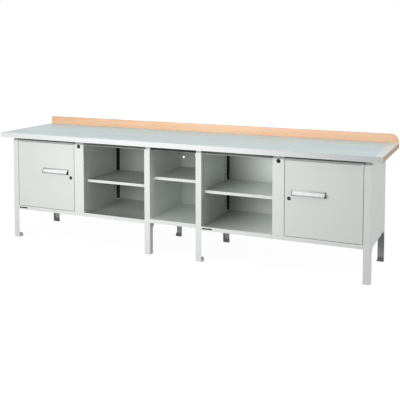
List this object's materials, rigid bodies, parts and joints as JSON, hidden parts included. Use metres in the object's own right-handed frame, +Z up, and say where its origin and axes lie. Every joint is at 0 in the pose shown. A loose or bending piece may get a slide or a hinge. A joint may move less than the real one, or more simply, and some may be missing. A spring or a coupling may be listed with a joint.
{
  "type": "cabinet workbench",
  "caption": "Long cabinet workbench: zinc-covered wooden worktop with a beech rear ledge on two light grey steel cupboards with hinged locking doors, open shelf bays and folded legs.",
  "frame": {"origin": "on the floor under the middle of the worktop", "axes": "+X along the worktop to the right of a person who stands in front, +Y to the rear ledge, +Z up"},
  "size_m": [3, 0.7, 0.912],
  "materials": {
    "board_wood": "beech multiplex board, cut edges",
    "zinc_sheet": "galvanised sheet with a faint spangle, satin",
    "ledge_beech": "light beech, clear lacquer",
    "screw_steel": "zinc plated, satin",
    "case_paint": "light grey powder coat, satin",
    "inner_paint": "light grey powder coat, satin",
    "shelf_paint": "light grey powder coat, satin",
    "door_paint": "light grey powder coat, satin",
    "black_plastic": "moulded black plastic, fine grain",
    "foot_plastic": "moulded grey plastic, fine grain",
    "handle_aluminium": "anodised, satin",
    "white_strip": "white strip, no lettering",
    "lock_black": "black plastic rim",
    "lock_metal": "darkened nickel plate"
  },
  "bodies": {
    "cupboards": {"worktop_board": "board_wood", "worktop_sheet": "zinc_sheet", "rear_ledge": "ledge_beech", "ledge_screws": "screw_steel", "worktop_screws": "screw_steel", "outer_channel_left": "case_paint", "outer_channel_right": "case_paint", "partition_channel_left": "case_paint", "partition_channel_right": "case_paint", "inner_channel_left": "case_paint", "inner_channel_right": "case_paint", "side_panel_outer_left": "case_paint", "side_panel_outer_right": "case_paint", "side_panel_inner_left": "case_paint", "side_panel_inner_right": "case_paint", "partition_left": "case_paint", "partition_right": "case_paint", "shelf_wall_outer_left": "inner_paint", "shelf_wall_outer_right": "inner_paint", "shelf_wall_inner_left": "inner_paint", "shelf_wall_inner_right": "inner_paint", "cupboard_floor_left": "case_paint", "cupboard_floor_right": "case_paint", "bay_floor_left": "case_paint", "bay_floor_right": "case_paint", "cupboard_shelf_left": "inner_paint", "cupboard_shelf_right": "inner_paint", "bay_shelf_left": "shelf_paint", "bay_shelf_right": "shelf_paint", "shelf_clips": "screw_steel", "top_cover_left": "case_paint", "top_cover_right": "case_paint", "back_panel_left": "inner_paint", "back_panel_right": "inner_paint", "middle_floor": "case_paint", "middle_shelf": "shelf_paint", "middle_top": "case_paint", "middle_back": "inner_paint", "housing_bolts": "screw_steel", "feet_left": "foot_plastic", "feet_right": "foot_plastic", "stile_plugs": "black_plastic"},
    "door_left": {"door_shell_left": "door_paint", "door_stiffener_left": "door_paint", "handle_profile_left": "handle_aluminium", "handle_insert_left": "white_strip", "handle_caps_left": "black_plastic", "hinge_pins_left": "screw_steel", "lock_sleeve_left": "lock_black"},
    "lock_left": {"lock_core_left": "lock_metal", "lock_cam_left": "lock_metal"},
    "door_right": {"door_shell_right": "door_paint", "door_stiffener_right": "door_paint", "handle_profile_right": "handle_aluminium", "handle_insert_right": "white_strip", "handle_caps_right": "black_plastic", "hinge_pins_right": "screw_steel", "lock_sleeve_right": "lock_black"},
    "lock_right": {"lock_core_right": "lock_metal", "lock_cam_right": "lock_metal"}
  },
  "joints": [
    {"name": "door_right_hinge", "type": "hinge", "parent": "cupboards", "child": "door_right", "pos_m": [1.362, -0.2885, 0.52], "axis": [0, 0, 1], "range_deg": [0, 110]},
    {"name": "door_left_hinge", "type": "hinge", "parent": "cupboards", "child": "door_left", "pos_m": [-1.362, -0.2885, 0.52], "axis": [0, 0, -1], "range_deg": [0, 110]},
    {"name": "lock_right_turn", "type": "hinge", "parent": "door_right", "child": "lock_right", "pos_m": [0.875, -0.2855, 0.52], "axis": [0, 1, 0], "range_deg": [0, 90]},
    {"name": "lock_left_turn", "type": "hinge", "parent": "door_left", "child": "lock_left", "pos_m": [-0.875, -0.2855, 0.52], "axis": [0, -1, 0], "range_deg": [0, 90]}
  ]
}
